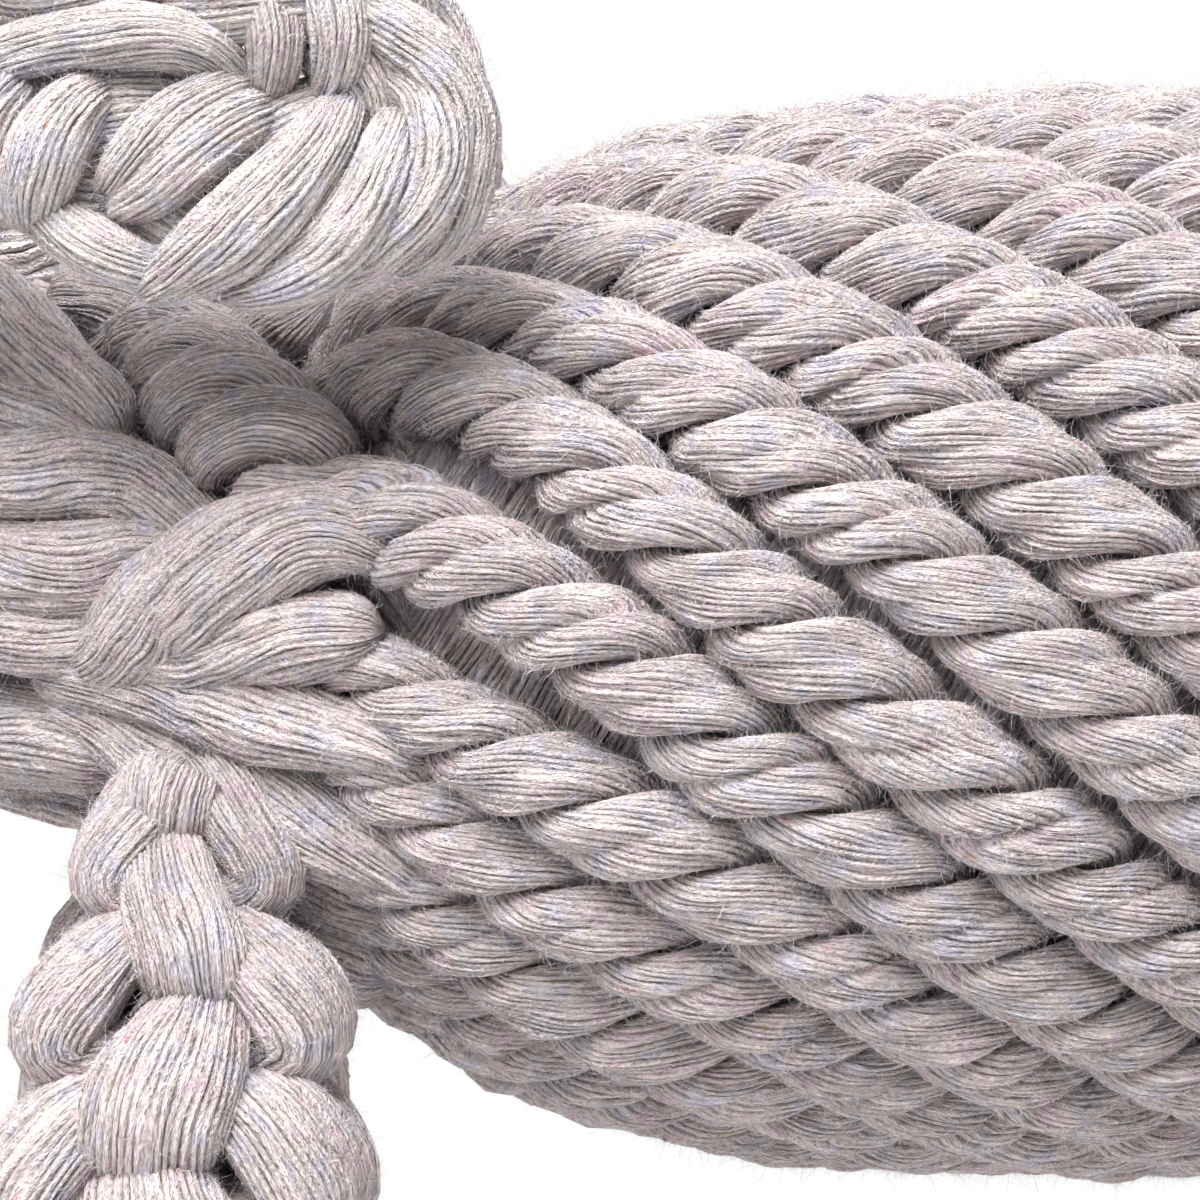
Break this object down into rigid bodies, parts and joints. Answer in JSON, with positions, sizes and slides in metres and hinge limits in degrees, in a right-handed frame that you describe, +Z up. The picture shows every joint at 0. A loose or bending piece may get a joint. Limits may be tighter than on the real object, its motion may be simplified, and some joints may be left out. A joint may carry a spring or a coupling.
{
  "type": "rope dog toy",
  "caption": "Chew toy shaped as a standing dog: barrel body under helically laid cotton ropes, strand neck, plaited head, looped plait ears, plaited legs and tail.",
  "frame": {"origin": "on the surface that the four feet stand on, under the middle of the whole toy", "axes": "+X towards the tail, the head faces -X; the animal's left side faces -Y; +Z up"},
  "size_m": [0.2848, 0.088, 0.1552],
  "materials": {
    "rope_cotton": "three-strand laid rope of pale grey recycled cotton yarn with small coloured flecks and short fuzz",
    "strand_cotton": "soft unlaid and plaited bundles of the same pale grey cotton yarn",
    "core_cotton": "darker grey cotton yarn of the core, seen only in the gaps between ropes",
    "tie_cotton": "one strand of the same cotton, wound round the end of a plait",
    "cut_cotton": "cut yarn ends, frayed into a short dense brush"
  },
  "bodies": {
    "body": {"body_core": "core_cotton", "body_rope_01": "rope_cotton", "body_rope_02": "rope_cotton", "body_rope_03": "rope_cotton", "body_rope_04": "rope_cotton", "body_rope_05": "rope_cotton", "body_rope_06": "rope_cotton", "body_rope_07": "rope_cotton", "body_rope_08": "rope_cotton", "body_rope_09": "rope_cotton", "body_rope_10": "rope_cotton", "body_rope_11": "rope_cotton", "body_rope_12": "rope_cotton", "body_rope_13": "rope_cotton", "body_rope_14": "rope_cotton", "body_rope_15": "rope_cotton", "body_rope_16": "rope_cotton", "body_rope_17": "rope_cotton", "body_rope_18": "rope_cotton", "body_rope_19": "rope_cotton", "body_rope_20": "rope_cotton", "neck_core": "core_cotton", "neck_strand_top": "strand_cotton", "neck_strand_left_over": "strand_cotton", "neck_strand_left_laid": "strand_cotton", "neck_strand_left_side": "strand_cotton", "neck_strand_left_upper": "strand_cotton", "neck_strand_left_fan": "strand_cotton", "neck_strand_left_lower": "strand_cotton", "neck_strand_left_belly": "strand_cotton", "neck_strand_left_tucked": "strand_cotton", "neck_strand_left_under": "strand_cotton", "neck_strand_right_laid": "strand_cotton", "neck_strand_right_side": "strand_cotton", "neck_strand_right_upper": "strand_cotton", "neck_strand_right_lower": "strand_cotton", "neck_strand_right_belly": "strand_cotton", "neck_strand_right_under": "strand_cotton", "rump_crown": "strand_cotton"},
    "head": {"head_plait": "strand_cotton", "nose_tie": "tie_cotton", "nose_end": "cut_cotton"},
    "ear_left": {"ear_left": "strand_cotton"},
    "ear_right": {"ear_right": "strand_cotton"},
    "front_left_leg": {"front_left_leg_plait": "strand_cotton", "front_left_foot_tie": "tie_cotton", "front_left_foot_tuft": "cut_cotton"},
    "front_right_leg": {"front_right_leg_plait": "strand_cotton", "front_right_foot_tie": "tie_cotton", "front_right_foot_tuft": "cut_cotton"},
    "hind_left_leg": {"hind_left_leg_plait": "strand_cotton", "hind_left_foot_tie": "tie_cotton", "hind_left_foot_tuft": "cut_cotton"},
    "hind_right_leg": {"hind_right_leg_plait": "strand_cotton", "hind_right_foot_tie": "tie_cotton", "hind_right_foot_tuft": "cut_cotton"},
    "tail": {"tail_plait": "strand_cotton", "tail_tie": "tie_cotton", "tail_tuft": "cut_cotton"}
  },
  "joints": [
    {"name": "head_turn", "type": "hinge", "parent": "body", "child": "head", "pos_m": [-0.06723, 0, 0.1034], "axis": [1, 0, 0], "range_deg": [-15, 15]},
    {"name": "ear_left_flap", "type": "hinge", "parent": "head", "child": "ear_left", "pos_m": [-0.08123, -0.02, 0.1255], "axis": [0, 0, -1], "range_deg": [0, 35]},
    {"name": "ear_right_flap", "type": "hinge", "parent": "head", "child": "ear_right", "pos_m": [-0.08123, 0.02, 0.1255], "axis": [0, 0, 1], "range_deg": [0, 35]},
    {"name": "front_left_leg_swing", "type": "hinge", "parent": "body", "child": "front_left_leg", "pos_m": [-0.04673, -0.02, 0.086], "axis": [0, 1, 0], "range_deg": [-12, 12]},
    {"name": "front_right_leg_swing", "type": "hinge", "parent": "body", "child": "front_right_leg", "pos_m": [-0.05173, 0.02, 0.086], "axis": [0, 1, 0], "range_deg": [-12, 12]},
    {"name": "hind_left_leg_swing", "type": "hinge", "parent": "body", "child": "hind_left_leg", "pos_m": [0.08427, -0.02, 0.086], "axis": [0, 1, 0], "range_deg": [-12, 12]},
    {"name": "hind_right_leg_swing", "type": "hinge", "parent": "body", "child": "hind_right_leg", "pos_m": [0.08427, 0.02, 0.086], "axis": [0, 1, 0], "range_deg": [-12, 12]},
    {"name": "tail_wag", "type": "hinge", "parent": "body", "child": "tail", "pos_m": [0.10417, 0, 0.095], "axis": [0, 0, 1], "range_deg": [-20, 20]}
  ]
}
